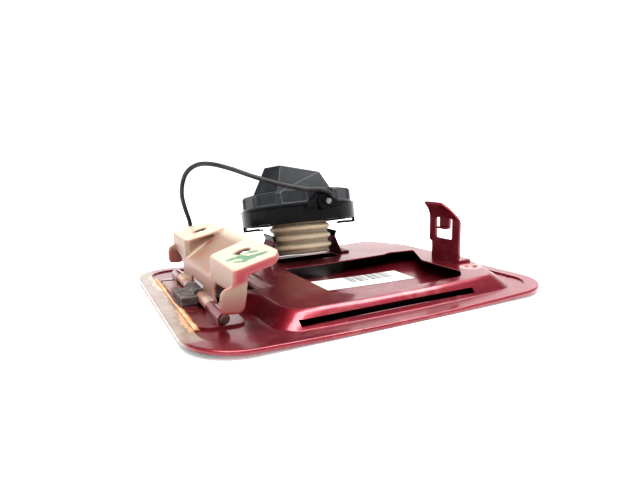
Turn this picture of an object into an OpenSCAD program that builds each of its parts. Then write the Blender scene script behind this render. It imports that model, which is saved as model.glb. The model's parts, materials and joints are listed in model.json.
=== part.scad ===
// Fuel door of a car, lying on its outer face, with its hinge bracket, latch hook,
// cap holder and tethered fuel cap. X runs from the hinge end (-) to the latch end (+),
// Y runs along the hinge pin, Z points to the inner side. Millimetres.

/* [Outer skin] */
// Length of the door from its hinge end to its latch end
door_l = 205; // [195:1:215]
// Width of the door along the hinge pin
door_w = 168.8; // [162:0.1:176]
// Radius of the door's four corners
corner_r = 25.6; // [20:0.1:30]
// Rise of the crowned outer face at both ends
crown = 2.6; // [1:0.1:3.4]
// Thickness of the outer sheet
skin_t = 0.8; // [0.6:0.05:1]
// Width of the folded hem, seen from inside
hem_w = 8; // [6:0.5:10]

/* [Inner panel] */
// Thickness of the inner sheet
panel_t = 0.7; // [0.5:0.05:0.9]
// Height of the raised plateau above the outer face
plateau_h = 9.4; // [8:0.1:11]
// Distance of the plateau's long sides from the door's edge
plateau_side = 19.9; // [17:0.1:24]
// Distance of the plateau from the door's latch end
plateau_in1 = 18.5; // [15:0.5:22]
// Distance of the plateau from the door's hinge end
plateau_in0 = 41.5; // [39.5:0.5:43.5]
// Width of the plateau between its hinge end and the window
win_in0 = 38; // [35:0.5:41]
// Width of the plateau between the window and its latch end
win_in1 = 22; // [21:0.5:28]
// Width of the plateau between its near side and the window
win_side = 6; // [4.5:0.5:12]
// Width of the bar between the window and the cap's nest
bar_w = 16; // [13:0.5:20]
// Length of the stiffening slots in the long flanks
slot_l = 103; // [80:1:110]
// Height of those slots
slot_h = 2.6; // [2:0.1:3.4]

/* [Hinge] */
// Distance of the hinge pin from the door's hinge end
pin_in = 21.5; // [20.5:0.5:23.5]
// Height of the hinge pin above the outer face
pin_z = 7.4; // [7.2:0.1:9]
// Diameter of the hinge pin
pin_d = 3.2; // [2.8:0.1:3.4]
// Running clearance around the pin, on the radius
pin_gap = 0.05; // [0.03:0.01:0.1]
// Thickness of the door-side hinge leaf
leaf_t = 1.1; // [0.9:0.05:1.15]
// Outer diameter of the rubber buffer on the pin
buffer_d = 7.2; // [6.6:0.1:7.6]

/* [Hinge bracket] */
// Thickness of the bracket's sheet
br_t = 1.8; // [1.4:0.1:2.2]
// Half the width of the bracket over its two mounting ears
br_b = 65; // [61:0.5:67]
// Reach of the ears' rear edge from the hinge pin
br_reach = 25; // [22:0.5:27]
// Depth of the mounting ears across the pin
ear_d = 22; // [19:0.5:24]
// Height of the ears' rear edge above the hinge pin
br_rise = 30; // [27:0.2:32]
// Tilt of the ears, rising away from the pin
ear_tilt = 14.5; // [10:0.5:18]
// Spacing of the two mounting holes
hole_pitch = 81; // [74:0.5:88]
// Diameter of the mounting holes
hole_d = 7; // [6:0.1:8.5]

/* [Latch hook] */
// Distance of the latch hook from the plateau's latch end
hook_in = 13; // [11:0.5:15]
// Width of the hook's strip
hook_w = 26.5; // [22:0.5:30]
// Height of the hook above the outer face
hook_h = 46; // [40:0.5:50]
// Thickness of the hook's strip
hook_t = 1.6; // [1.2:0.1:2]

/* [Fuel cap] */
// Outer diameter of the cap's cover
cover_d = 75; // [72:0.5:77]
// Step by which the tether ring stands out past the cover
ring_step = 1.5; // [1:0.1:2.5]
// Height of the tether ring's band
ring_h = 10.5; // [9:0.5:12]
// Diameter of the cap's neck below its threads
neck_d = 37.6; // [34:0.2:40]
// Height of a thread above the neck
thread_h = 2.1; // [1.4:0.1:2.6]
// Length of the cap's neck below the ring
neck_l = 21; // [18:0.5:22]
// Angle by which the cap leans back in its holder
cap_tilt = 10; // [6:0.5:13]
// Width of the grip at its top
grip_w = 12; // [10:0.5:14]
// Distance of the grip's foot from the cover's edge
grip_in = 4; // [3:0.5:8]

/* [Tether] */
// Diameter of the tether
tether_d = 2.8; // [2.2:0.1:3.2]

/* [Hidden] */
$fn = 48;

// Places that follow from the driving sizes
plateau_b = door_w / 2 - plateau_side;
plateau_x1 = door_l / 2 - plateau_in1;
plateau_x0 = -door_l / 2 + plateau_in0;
cap_x = 3.8;
cap_y = plateau_b - 17.5;
cap_z = 32.6;
nest_in = 16;
nest_y0 = cap_y - nest_in;
win_x0 = plateau_x0 + win_in0;
win_x1 = plateau_x1 - win_in1;
win_y0 = -plateau_b + win_side;
win_y1 = nest_y0 - bar_w;
pin_x = -door_l / 2 + pin_in;
hook_x = plateau_x1 - hook_in;
ring_d = cover_d + 2 * ring_step;
// The ring reaches past the door's far side. The frame's origin is the middle of the whole
// part, so all of it is moved by half of that reach.
ring_lip = 0.5;
far_reach = cap_y + (ring_d / 2 + ring_lip) * cos(cap_tilt) + ring_h * sin(cap_tilt) - door_w / 2;
mid_y = max(0, far_reach / 2);

// Colours
paint = [0.42, 0.07, 0.12];
primer = [0.86, 0.78, 0.70];
rubber = [0.36, 0.36, 0.37];
black_plastic = [0.12, 0.13, 0.14];
cream_plastic = [0.74, 0.67, 0.54];

// Small clearance between pieces that are fitted together
fit = 0.1;
// Seating gap between a welded or laid piece and the sheet under it
seat = 0.05;

// Corner rounding of sheet outlines
function unit(v) = v / norm(v);
function fillet(a, b, c, r, n) =
    let (u = unit(a - b), v = unit(c - b), ang = acos(max(-1, min(1, u * v))),
         d = min(r / tan(ang / 2), 0.49 * min(norm(a - b), norm(c - b))),
         rr = d * tan(ang / 2), o = b + unit(u + v) * rr / sin(ang / 2),
         s = b + u * d - o, e = b + v * d - o, phi = 180 - ang)
    [for (k = [0:n]) o + s * sin((1 - k / n) * phi) / sin(phi) + e * sin(k / n * phi) / sin(phi)];
function rounded(pts, r, n = 6) =
    let (m = len(pts))
    [for (i = [0:m - 1]) each
        let (ri = is_list(r) ? r[i] : r)
        ri > 0 ? fillet(pts[(i + m - 1) % m], pts[i], pts[(i + 1) % m], ri, n) : [pts[i]]];

// Crown of the door: the outer face is part of a cylinder that lies along Y
function crown_z(x) = crown * pow(x / (door_l / 2), 2);
crown_slope = atan(2 * crown * pin_x / pow(door_l / 2, 2));

// Rings of the pressed sheets. Each ring has as many points as the others, starts at the
// latch end and is the same on both sides of the X axis, so flat strips close it.
corner_n = 10;
side_n = 12;
half_n = 2 * corner_n + side_n + 1;
ring_n = 2 * half_n;
// Half outline from the latch end to the hinge end, on the far side, for a given inset
function half_outline(inset) =
    let (a = door_l / 2 - inset, b = door_w / 2 - inset, r = corner_r - inset)
    concat([for (k = [0:corner_n])
                let (t = 90 * k / corner_n)
                [a - r + r * cos(t), b - r + r * sin(t)]],
           [for (k = [1:side_n - 1]) [(a - r) * (1 - 2 * k / side_n), b]],
           [for (k = [0:corner_n])
                let (t = 90 + 90 * k / corner_n)
                [-a + r + r * cos(t), b - r + r * sin(t)]]);
function outline(inset) = order(half_outline(inset));
// The ring runs from the latch end's near corner round the far side to the hinge end
// and back along the near side
function order(half) = concat(half, [for (i = [len(half) - 1:-1:0]) [half[i][0], -half[i][1]]]);
// A point at a share of the way along an open path
function path_len(p) =
    [for (i = 0, s = 0; i < len(p); s = s + (i + 1 < len(p) ? norm(p[i + 1] - p[i]) : 0), i = i + 1)
        s];
function along(p, n) =
    let (s = path_len(p), total = s[len(s) - 1])
    [for (k = [0:n]) let (d = min(total * k / n, total - 0.0001),
        i = max([for (j = [0:len(p) - 2]) s[j] <= d ? j : 0]))
        p[i] + (p[i + 1] - p[i]) * (d - s[i]) / (s[i + 1] - s[i])];
// Half outline of the plateau's top edge, from the latch end to the hinge end: its latch
// corners are slanted, and its hinge end is stepped back beside a nose for the hinge
slant_l = 30;
slant_w = 13;
notch_in = 6.5;
notch_cut = 9;
nose_b = 27;
function plateau_half(out) =
    let (b = plateau_b + out, x1 = plateau_x1 + out, x0 = plateau_x0 - out,
         slant = [x1, b - slant_l], shoulder = [x1 - slant_w, b],
         latch = concat(fillet([x1, 0], slant, shoulder, 8, 4),
                        fillet(slant, shoulder, [0, b], 10, 5)),
         notch = [x0 + notch_in, b - notch_cut], neck = [notch[0] - 0.5, nose_b + 7 + out],
         hinge = concat(fillet([x1, b], [notch[0] + 7, b], notch, 6, 4),
                        fillet([notch[0] + 7, b], notch, neck, 5, 3),
                        fillet(notch, neck, [x0, nose_b + out], 4, 3),
                        [[x0, nose_b - 1 + out]]))
    concat(along(latch, corner_n),
           [for (k = [1:side_n - 1])
                let (xa = x1 - 20, xb = notch[0] + 12)
                [xa + (xb - xa) * k / side_n, b]],
           along(hinge, corner_n));

// Stacks rings into a closed sheet: the first ring and the last are closed by flat strips
function lift(ring, z) = [for (p = ring) [p[0], p[1], z + crown_z(p[0])]];
module ring_solid(rings, z) {
    m = len(rings);
    n = ring_n;
    h = half_n;
    points = [for (k = [0:m - 1]) each lift(rings[k], z[k])];
    walls = [for (k = [0:m - 2], i = [0:n - 1])
        let (j = (i + 1) % n)
        [k * n + i, (k + 1) * n + i, (k + 1) * n + j, k * n + j]];
    first = [for (i = [0:h - 2]) [i, i + 1, n - 2 - i, n - 1 - i]];
    last = [for (i = [0:h - 2])
        let (o = (m - 1) * n)
        [o + n - 1 - i, o + n - 2 - i, o + i + 1, o + i]];
    polyhedron(points, concat(walls, first, last), 4);
}

// Levels of the hemmed edge, measured from the outer face
slit = panel_t + fit;
hem_top = 2 * skin_t + slit;
hem_r = hem_top / 2;
rim_z0 = skin_t + fit / 2;
rim_z1 = rim_z0 + panel_t;
fold_n = 6;

// Outer sheet with its edge folded back over the inner panel
module outer_skin() {
    fold = [for (k = [0:fold_n])
        let (t = -90 + 180 * k / fold_n)
        [hem_r - hem_r * cos(t), hem_r + hem_r * sin(t)]];
    back = [for (k = [0:3])
        let (t = 90 - 180 * k / 3, r = slit / 2)
        [hem_r - r * cos(t), skin_t + r + r * sin(t)]];
    inner = hem_w + 4;
    section = concat([[inner, 0]], fold, [[hem_w, hem_top], [hem_w + 0.15, hem_top - skin_t]], back,
                     [[inner, skin_t]]);
    color(paint) ring_solid([for (s = section) outline(s[0])], [for (s = section) s[1]]);
}

// Pressed inner sheet: rim in the hem, low border, steep flank and raised plateau
flank_w = 8;
flank = [[1, 0.0], [0.93, 0.05], [0.75, 0.3], [0.3, 0.8], [0.12, 0.95], [0, 1]];
module panel_shell() {
    rise = plateau_h - rim_z1;
    top = concat([[hem_r + 0.3, rim_z1, -1], [hem_w + 1, rim_z1, -1]],
                 [for (f = flank) [f[0], rim_z1 + rise * f[1], 0]]);
    under = [for (f = flank) [f[0], rim_z0 + rise * f[1], 1]];
    rings_top = [for (s = top) s[2] < 0 ? outline(s[0]) : order(plateau_half(flank_w * s[0]))];
    rings_under = [for (s = under) order(plateau_half(flank_w * s[0] - panel_t * 0.7))];
    rim_under = [outline(hem_w + 1), outline(hem_r + 0.3)];
    ring_solid(concat([for (i = [len(rings_under) - 1:-1:0]) rings_under[i]], rim_under, rings_top),
               concat([for (i = [len(under) - 1:-1:0]) under[i][1]], [rim_z0, rim_z0],
                      [for (s = top) s[1]]));
}

// Openings of the inner panel, each as a flat outline
// The window widens towards the latch end beside the hook
win_bulge = 15;
window_outline = rounded([[win_x0, win_y1], [win_x0, win_y0 + 12], [win_x0 + 10, win_y0],
                          [win_x1 - 8, win_y0], [win_x1, win_y0 + 10], [win_x1, win_y1 - 29],
                          [win_x1 + win_bulge, win_y1 - 1.5], [win_x1 - 3, win_y1 + 2.6],
                          [win_x1 - 9, win_y1]], [4, 8, 10, 8, 8, 8, 2, 2, 3]);
nest_w = neck_d + 2 * thread_h + 6;
nest_y1 = plateau_b - 2.4;
nest_outline = rounded([[cap_x - nest_w / 2, nest_y0], [cap_x + nest_w / 2, nest_y0],
                        [cap_x + nest_w / 2, nest_y1], [cap_x - nest_w / 2, nest_y1]], 6);
hinge_cut_x = plateau_x0 + 18;
hinge_cut_y = 22.5;
hinge_cut_x0 = plateau_x0 - flank_w - 1;
hinge_cut_outline = rounded([[hinge_cut_x0, -hinge_cut_y], [hinge_cut_x, -hinge_cut_y],
                             [hinge_cut_x, hinge_cut_y], [hinge_cut_x0, hinge_cut_y]], [0, 3, 3, 0]);
cut_z0 = rim_z1 + 1.2;
drain_x = door_l / 2 - 9.5;
drain_y = door_w / 2 - 27.4;
drain_d = 2.6;
dimple_x = plateau_x1 - 11;
dimple_y = -plateau_b + 18.5;
dimple_d = 9;
dimple_depth = 1.2;
dimple_hole = 1.6;
slot_z = 3.6;

module inner_panel() {
    color(paint) difference() {
        panel_shell();
        translate([0, 0, cut_z0]) linear_extrude(plateau_h + 6) {
            polygon(window_outline);
            polygon(nest_outline);
            polygon(hinge_cut_outline);
        }
        for (s = [-1, 1]) {
            translate([-slot_l / 2, s * (plateau_b + flank_w / 2) - 5, slot_z])
                cube([slot_l, 10, slot_h]);
            translate([drain_x, s * drain_y, -1]) cylinder(d = drain_d, h = 12);
        }
        translate([dimple_x, dimple_y, cut_z0]) cylinder(d = dimple_d, h = 20);
    }
    color(paint) dimple_cup();
}

// Round dished seat pressed in the plateau beside the latch hook
module dimple_cup() {
    z = plateau_h + crown_z(dimple_x);
    r = dimple_d / 2;
    translate([dimple_x, dimple_y, z - dimple_depth - panel_t]) rotate_extrude()
        polygon([[dimple_hole, 0], [r - 0.6, 0], [r + 0.05, dimple_depth - 0.3],
                 [r + 0.05, dimple_depth + panel_t - 0.1], [r - 0.6, dimple_depth + panel_t - 0.1],
                 [r - 1.2, panel_t], [dimple_hole, panel_t]]);
}

// Cured bead of seam sealer along the hem at the hinge end
sealer_w = 2.8;
sealer_h = 1.5;
sealer_end = 32.4;
module hem_sealer() {
    a = door_l / 2;
    b = door_w / 2;
    n = 40;
    function side(inset, y) =
        let (r = corner_r - inset, yc = b - corner_r, d = abs(y) - yc,
             x = abs(y) < yc ? -a + inset : -a + corner_r - r * cos(asin(min(1, d / r))))
        [x, y];
    function above(p, h) = [p[0], p[1], rim_z1 + h + crown_z(p[0])];
    pts = [for (k = [0:n])
        let (y = (b - sealer_end) * (2 * k / n - 1), o = side(hem_w + 0.3, y),
             i = side(hem_w + sealer_w, y), m = side(hem_w + sealer_w / 2, y))
        each [above(o, 0.02), above(o, sealer_h * 0.6), above(m, sealer_h),
              above(i, 0.25), above(i, 0.02)]];
    walls = [for (k = [0:n - 1], j = [0:4])
        let (q = (j + 1) % 5)
        [k * 5 + j, k * 5 + q, (k + 1) * 5 + q, (k + 1) * 5 + j]];
    ends = [[4, 3, 2, 1, 0], [for (j = [0:4]) n * 5 + j]];
    color([0.86, 0.60, 0.40]) polyhedron(pts, concat(walls, ends), 4);
}

// Hinge
pin_hole = pin_d + 2 * pin_gap;
eye_d = pin_hole + 2 * leaf_t;
eye_gap = 0.4;
// Stations of the eyes along the pin, from the near end to the far end
eye_y = [-53, -31, -11, 10, 16, 36, 50];
leaf_z = rim_z1 + crown_z(pin_x) + 2 * seat;
leaf_x0 = -door_l / 2 + hem_w + sealer_w + 0.3 - pin_x;
leaf_x1 = 11;
leaf_cut_x = -3.2;
leaf_slot_y = 43;
pad_h = 0.3;
leaf_spans = [[eye_y[0], eye_y[1] - eye_gap], [eye_y[3] + eye_gap, eye_y[4] - eye_gap],
              [eye_y[5] + eye_gap, eye_y[6]]];
bracket_spans = [[eye_y[1], eye_y[2]], [eye_y[4], eye_y[5]]];

// Outline of a flat rectangle
function block(x0, x1, y0, y1) = [[x0, y0], [x1, y0], [x1, y1], [x0, y1]];

module eye(y0, y1, t) {
    difference() {
        translate([0, y0, 0]) rotate([-90, 0, 0]) cylinder(d = pin_hole + 2 * t, h = y1 - y0);
        translate([0, y0 - 1, 0]) rotate([-90, 0, 0]) cylinder(d = pin_hole, h = y1 - y0 + 2);
    }
}

// Door-side leaf, welded to the inner panel, with three rolled eyes
module hinge_leaf() {
    drop = pin_z - leaf_z;
    y0 = eye_y[0];
    y1 = eye_y[6];
    color(paint) {
        translate([pin_x, 0, leaf_z]) rotate([0, -crown_slope, 0]) {
            linear_extrude(leaf_t) difference() {
                polygon(rounded(block(leaf_x0, leaf_x1, y0, y1), 5));
                polygon(rounded(block(leaf_cut_x, leaf_x1 + 1, -22, eye_y[3] + 0.2), [2, 0, 0, 0]));
                polygon(rounded(block(leaf_x0 - 1, leaf_x0 + 8, leaf_slot_y, leaf_slot_y + 2.5), 1));
            }
            // Raised pads between the eyes
            for (pad = [[7, 14, 41], [5, -26, 11]])
                translate([leaf_x0 + 1, 0, leaf_t - pad_h]) linear_extrude(2 * pad_h)
                    polygon(rounded(block(0, pad[0], pad[1], pad[2]), 2));
        }
        for (s = leaf_spans) difference() {
            union() {
                translate([pin_x, 0, pin_z]) eye(s[0], s[1], leaf_t);
                translate([pin_x - pin_hole / 2 - leaf_t, s[0], leaf_z + leaf_t / 2])
                    cube([leaf_t, s[1] - s[0], drop - leaf_t / 2]);
            }
            translate([pin_x, s[0] - 1, pin_z]) rotate([-90, 0, 0])
                cylinder(d = pin_hole, h = s[1] - s[0] + 2);
        }
    }
}

// Plain pin with a peened head at its near end
pin_end = 1.6;
module hinge_pin() {
    y0 = eye_y[0] - pin_end;
    color([0.55, 0.50, 0.48]) translate([pin_x, y0, pin_z]) rotate([-90, 0, 0]) {
        cylinder(d = pin_d, h = eye_y[6] + pin_end - y0);
        cylinder(d1 = pin_d, d2 = eye_d - 0.6, h = pin_end - eye_gap);
    }
}

// Rubber buffer on the pin, whose block stops the bracket when the door is open
block_z0 = -1.9;
block_h = 3.9;
block_l = 8;
block_over = 7;
collar_w = 1.8;
collar_step = 0.5;
module hinge_buffer() {
    y0 = eye_y[2] + eye_gap;
    y1 = eye_y[3];
    x1 = -pin_hole / 2 - leaf_t - eye_gap;
    w = y1 - y0;
    color(rubber) translate([pin_x, 0, pin_z]) difference() {
        union() {
            translate([0, y0 + collar_w, 0]) rotate([-90, 0, 0])
                cylinder(d = buffer_d, h = w - collar_w);
            translate([0, y0, 0]) rotate([-90, 0, 0])
                cylinder(d = buffer_d + 2 * collar_step, h = collar_w);
            translate([x1 - block_l, y0 - block_over, block_z0]) cube([block_l, w + 1, block_h]);
            translate([x1 - 1, y0 + 0.5, block_z0])
                cube([1 - x1, w + 0.5 - block_over, block_h]);
        }
        translate([0, y0 - 1, 0]) rotate([-90, 0, 0]) cylinder(d = pin_hole, h = y1 - y0 + 2);
    }
}

// Ribbed channel welded under the plateau, which shows in the hinge cut-out
module hinge_channel() {
    x0 = hinge_cut_x - 8.5;
    w = 9;
    z = plateau_h + crown_z(hinge_cut_x) - panel_t - 1.9;
    prof = [[0, 0], [0.8, 1.6], [2.8, 1.6], [3.6, 0.2], [5.2, 0.2], [6, 1.6], [8.2, 1.6], [w, 0]];
    lap = 12;
    color(paint) translate([x0, hinge_cut_y + lap, z]) rotate([90, 0, 0])
        linear_extrude(2 * (hinge_cut_y + lap))
            polygon(concat(prof, [for (i = [len(prof) - 1:-1:0]) [prof[i][0], prof[i][1] - 0.9]]));
}

// Bracket that bolts the door to the body: two ears with holes, a sunk channel between
// them, a front web with two rolled eyes, and a stiffening leg at each end
ear_x1 = br_reach;
ear_x0 = br_reach - ear_d;
ear_z1 = br_rise;
ear_z0 = br_rise - ear_d * tan(ear_tilt);
web_x = pin_hole / 2;
chan_z = 13.8;
ear_in1 = 20;
ear_in0 = 25;
lip_h = 4.6;
web_top = ear_z0;

module hinge_bracket() {
    color(primer) translate([pin_x, 0, pin_z]) difference() {
        union() {
            for (s = [-1, 1]) {
                ear(s);
                ear_wall(s);
                leg(s);
            }
            channel_floor();
            web();
            for (b = bracket_spans) eye(b[0], b[1], leaf_t);
        }
        for (b = bracket_spans)
            translate([0, b[0] - 1, 0]) rotate([-90, 0, 0])
                cylinder(d = pin_hole, h = b[1] - b[0] + 2);
    }
}

// One mounting ear, tilted about the pin's direction, with its turned-down lip
ear_l = ear_d / cos(ear_tilt);
ear_cut = [5, 7];
function ear_outline(s) = rounded(
    [[-ear_l, s * ear_in0], [0, s * ear_in1], [0, s * (br_b - ear_cut[1])],
     [-ear_cut[0], s * br_b], [-ear_l, s * br_b]],
    [0, 1, 6, 6, 2.5]);
function lip_inside(s) = rounded(
    [[-ear_l - 3, s * 10], [5, s * 10], [5, s * (br_b - 12)], [-br_t, s * (br_b - 7.7)],
     [-5.5, s * (br_b - br_t)], [-ear_l - 3, s * (br_b - br_t)]],
    [0, 0, 0, 4, 4, 0]);
module ear(s) {
    translate([ear_x1, 0, ear_z1]) rotate([0, -ear_tilt, 0]) difference() {
        union() {
            translate([0, 0, -br_t]) linear_extrude(br_t) polygon(ear_outline(s));
            translate([0, 0, -lip_h]) linear_extrude(lip_h - 0.2) difference() {
                polygon(ear_outline(s));
                polygon(lip_inside(s));
            }
        }
        translate([-ear_l / 2, s * hole_pitch / 2, -lip_h - 5]) cylinder(d = hole_d, h = lip_h + 10);
    }
}

// Side wall between an ear and the sunk channel
module ear_wall(s) {
    translate([0, s * ear_in0 + (s > 0 ? br_t : 0), 0]) rotate([90, 0, 0]) linear_extrude(br_t)
        polygon([[ear_x0, chan_z], [ear_x1 - 2, ear_z1 - 1.4], [ear_x1 - 2, ear_z1 - 0.7],
                 [ear_x0, ear_z0 - 0.1]]);
}

module channel_floor() {
    rotate([90, 0, 0]) translate([0, 0, -ear_in0 - br_t]) linear_extrude(2 * (ear_in0 + br_t))
        polygon([[web_x, chan_z - 1.2], [web_x + br_t, chan_z - 2.2], [ear_x1, ear_z1 - br_t],
                 [ear_x1, ear_z1], [web_x + 1, chan_z + 0.6], [web_x, chan_z]]);
}

// Front web, cut to leave two straps that end in the rolled eyes
module web() {
    step = step_z - 2;
    arch = 5;
    in = ear_in0 + br_t;
    top = [[leg_y[0] + 3, step + 2], [leg_y[0] + 3, web_top], [-in, web_top], [-in, chan_z],
           [in, chan_z], [in, web_top], [br_b - 3, web_top], [br_b - 3, step + 4],
           [leg_y[1] - 2, step + 2]];
    straps = [[eye_y[5] + 6, step], [eye_y[5], step - 3], [eye_y[5], 0], [eye_y[4], 0],
              [eye_y[4], arch], [eye_y[2], arch], [eye_y[2], 0], [eye_y[1], 0],
              [eye_y[1], step - 3], [eye_y[1] - 4, step]];
    radii = [2, 0, 0, 0, 0, 0, 0, 2, 2, 3, 3, 0, 0, 2, 2, 0, 0, 3, 3];
    translate([web_x, 0, 0]) rotate([90, 0, 90]) linear_extrude(br_t)
        polygon(rounded(concat(top, straps), radii, 3));
}

// Leg turned back from the web's end, which stiffens the bracket
leg_y = [-br_b, br_b - 9];
leg_out = [-4.5, -3];
step_z = 13.5;
module leg(s) {
    i = s > 0 ? 1 : 0;
    f = leg_out[i];
    side = [[ear_x0, ear_z0 - 1.2], [ear_x0 - 0.6, 18], [f, 16], [f, 5.4], [6, 4.8], [7.5, 12],
            [9, ear_z0 + 0.5]];
    translate([0, leg_y[i] + br_t, 0]) rotate([90, 0, 0]) linear_extrude(br_t)
        polygon(rounded(side, [0, 3, 4, 2.5, 3, 3, 0], 4));
    translate([web_x, s > 0 ? leg_y[i] - 3 : leg_y[i], step_z]) cube([br_t, 4, web_top - step_z]);
}

// Flat spring that presses on the bracket's web
spring_w = 16;
spring_l = 22;
spring_t = 0.8;
spring_in = 6.4;
module hinge_spring() {
    z = rim_z1 + crown_z(pin_x + 12) + 0.3;
    x = pin_x + spring_in;
    t = spring_t;
    color([0.25, 0.24, 0.25]) translate([0, spring_w / 2, 0]) rotate([90, 0, 0])
        linear_extrude(spring_w)
            polygon([[x + spring_l, z], [x + 4, z], [x, pin_z - 1], [x + t, pin_z - t / 2 - 0.2],
                     [x + 4.5, z + t], [x + spring_l, z + t]]);
}

// Latch hook: a strip that stands on the plateau, with a window and a curled top
hook_y = -24.3;
hook_foot = 11;
hook_curl_r = 13;
hook_curl = 52;
hook_bend_z = 36.5;
hook_step = 2.4;
hook_cut = 11;
module hook_side(h) {
    a = -hook_w / 2;
    b = hook_w / 2;
    polygon(rounded([[a + 1, 0], [b - hook_step, 0], [b - hook_step, h - 24], [b, h - 23],
                     [b, h + 2], [a + hook_cut, h + 2], [a, h + 2 - hook_cut], [a, h - 30]],
                    [0, 0, 0.8, 0.8, 1, 3, 4, 8], 4));
}

foot_slope = atan(2 * crown * (hook_x + hook_foot) / pow(door_l / 2, 2));
module latch_hook() {
    z0 = plateau_h + crown_z(hook_x + hook_t) + seat;
    h = hook_h - z0;
    bend = hook_bend_z - z0;
    w = 15;
    win_h = 13.2;
    win_z = bend - 11.6;
    tongue_w = 8.4;
    tongue_y = -tongue_w / 2 - 0.6;
    through = 2 * hook_curl_r;
    color(paint) translate([hook_x, hook_y, z0]) {
        difference() {
            intersection() {
                union() {
                    translate([0, -hook_w / 2 - 1, 0]) cube([hook_t, hook_w + 2, bend]);
                    translate([-hook_curl_r, hook_w / 2 + 1, bend]) rotate([90, 0, 0])
                        rotate_extrude(angle = hook_curl, $fn = 64)
                            translate([hook_curl_r, 0]) square([hook_t, hook_w + 2]);
                }
                translate([-through + 10, 0, 0]) rotate([90, 0, 90])
                    linear_extrude(through) hook_side(h);
            }
            translate([-through + 10, 0.2, win_z]) rotate([90, 0, 90])
                linear_extrude(through) difference() {
                    polygon(rounded(block(-w / 2, w / 2, 0, win_h), 1.2, 4));
                    translate([tongue_y, win_h - 6]) square([tongue_w, 7]);
                }
        }
        // Lip of the tongue in the window, bent towards the hinge
        translate([-3.2, 0.2 + tongue_y, win_z + win_h - 6.6])
            cube([3.2 + hook_t, tongue_w, 1.1]);
        // Foot welded on the plateau
        translate([hook_t, -hook_w / 2 + 1, 0]) rotate([0, -foot_slope, 0]) translate([-hook_t, 0, 0])
            cube([hook_foot, hook_w - hook_step - 1, hook_t]);
    }
}

// Cap holder: two spring arms welded beside the nest, which grip the cap's neck
arm_w = 17;
arm_t = 1.2;
arm_in = neck_d / 2 + thread_h + 0.5;
arm_h = 16.5;
arm_lean = 6;
arm_foot = 7;
arm_y = cap_y - 10;
module holder_arm(s) {
    x = arm_in;
    b = x + arm_lean;
    z = plateau_h + crown_z(cap_x + s * (b + arm_foot)) + seat;
    side = [[b + arm_foot, 0], [b + arm_foot, arm_t], [b + 0.8, arm_t], [x + 1.5, arm_h - 3.4],
            [x + 3, arm_h], [x + 1.8, arm_h + 0.3], [x + 0.2, arm_h - 3.4], [b - 0.6, 0]];
    color(paint) translate([cap_x, arm_y + arm_w, z]) rotate([90, 0, 0]) linear_extrude(arm_w)
        polygon([for (p = side) [s * p[0], p[1]]]);
}
module holder_arm_left() { holder_arm(-1); }
module holder_arm_right() { holder_arm(1); }

// Places what belongs to the cap: local Z runs up the cap's axis from the ring's lower edge
module on_cap() {
    translate([cap_x, cap_y, cap_z]) rotate([-cap_tilt, 0, 0]) children();
}
rib_n = 12;
rib_t = 2.9;
rib_turn = -132;
pocket_in = 1.7;
pocket_z = 1.4;
cover_z0 = ring_h + 0.3;
cover_z1 = 20;
cover_wall = 4;
grip_h = 17;
grip_top_turn = 37;
grip_foot_turn = 29;
grip_foot_w = grip_w + 9;
grip_foot_l = cover_d - 2 * grip_in;
grip_l = grip_foot_l - 10;
spigot_r = cover_d / 2 - cover_wall;
body_flange_r = spigot_r - 1.5 - 0.25;

module cap_cover() {
    r = cover_d / 2;
    s = spigot_r;
    pocket_w = 2 * (r - pocket_in) * sin(180 / rib_n) - rib_t;
    color(black_plastic) on_cap() difference() {
        union() {
            rotate_extrude($fn = 96) polygon(
                [[0, cover_z1 - 3], [s - 1.5, cover_z1 - 3], [s - 1.5, 2.8], [s - 2.8, 2.8],
                 [s - 2.4, 2], [s, 2], [s, 7.2], [s + 0.9, 7.6], [s + 0.9, 8.1], [s, 8.2],
                 [s, cover_z0], [r, cover_z0], [r, cover_z1 - 1.2], [r - 1.2, cover_z1],
                 [0, cover_z1]]);
            grip_body(0);
        }
        for (k = [0:rib_n - 1])
            rotate([0, 0, (k + 0.5) * 360 / rib_n + rib_turn])
                translate([r - pocket_in, -pocket_w / 2, cover_z0 + pocket_z])
                    cube([2 * pocket_in, pocket_w, cover_z1]);
        grip_body(2.4);
    }
}

// Tapered bar that the hand turns, or the hollow under it for a wall
module grip_body(wall) {
    base = cover_z1 - (wall > 0 ? 4 : 0.5);
    top = cover_z1 + grip_h - wall;
    function quad(l, w, turn, z) = [for (c = [[-1, -1], [1, -1], [1, 1], [-1, 1]])
        let (x = c[0] * (l / 2 - wall), y = c[1] * (w / 2 - wall))
        [x * cos(turn) - y * sin(turn), x * sin(turn) + y * cos(turn), z]];
    polyhedron(concat(quad(grip_foot_l, grip_foot_w, grip_foot_turn, base),
                      quad(grip_l, grip_w, grip_top_turn, top)),
               [[0, 1, 2, 3], [7, 6, 5, 4], [0, 4, 5], [0, 5, 1], [1, 5, 6], [1, 6, 2],
                [2, 6, 7], [2, 7, 3], [3, 7, 4], [3, 4, 0]], 2);
}

// Ring round the cap that carries the tether's eyelet
eyelet_turn = -91;
eyelet_hole = 4.6;
ring_t = 2;
tab_turns = [153, -27];
tab_w = 44;
tab_drop = 3;
tab_t = 1.4;
module tether_ring() {
    r = ring_d / 2;
    in = spigot_r + 0.25;
    color(black_plastic) on_cap() {
        rotate_extrude($fn = 96) polygon(
            [[r - ring_t, 0], [r, 0], [r, ring_h - 1.2], [r + ring_lip, ring_h - 0.9],
             [r + ring_lip, ring_h], [in, ring_h], [in, ring_h - ring_t],
             [r - ring_t, ring_h - ring_t]]);
        rotate([0, 0, eyelet_turn]) translate([r - 0.6, 0, ring_h - 3]) eyelet();
        for (a = tab_turns)
            rotate([0, 0, a]) ring_tab();
    }
}

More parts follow.
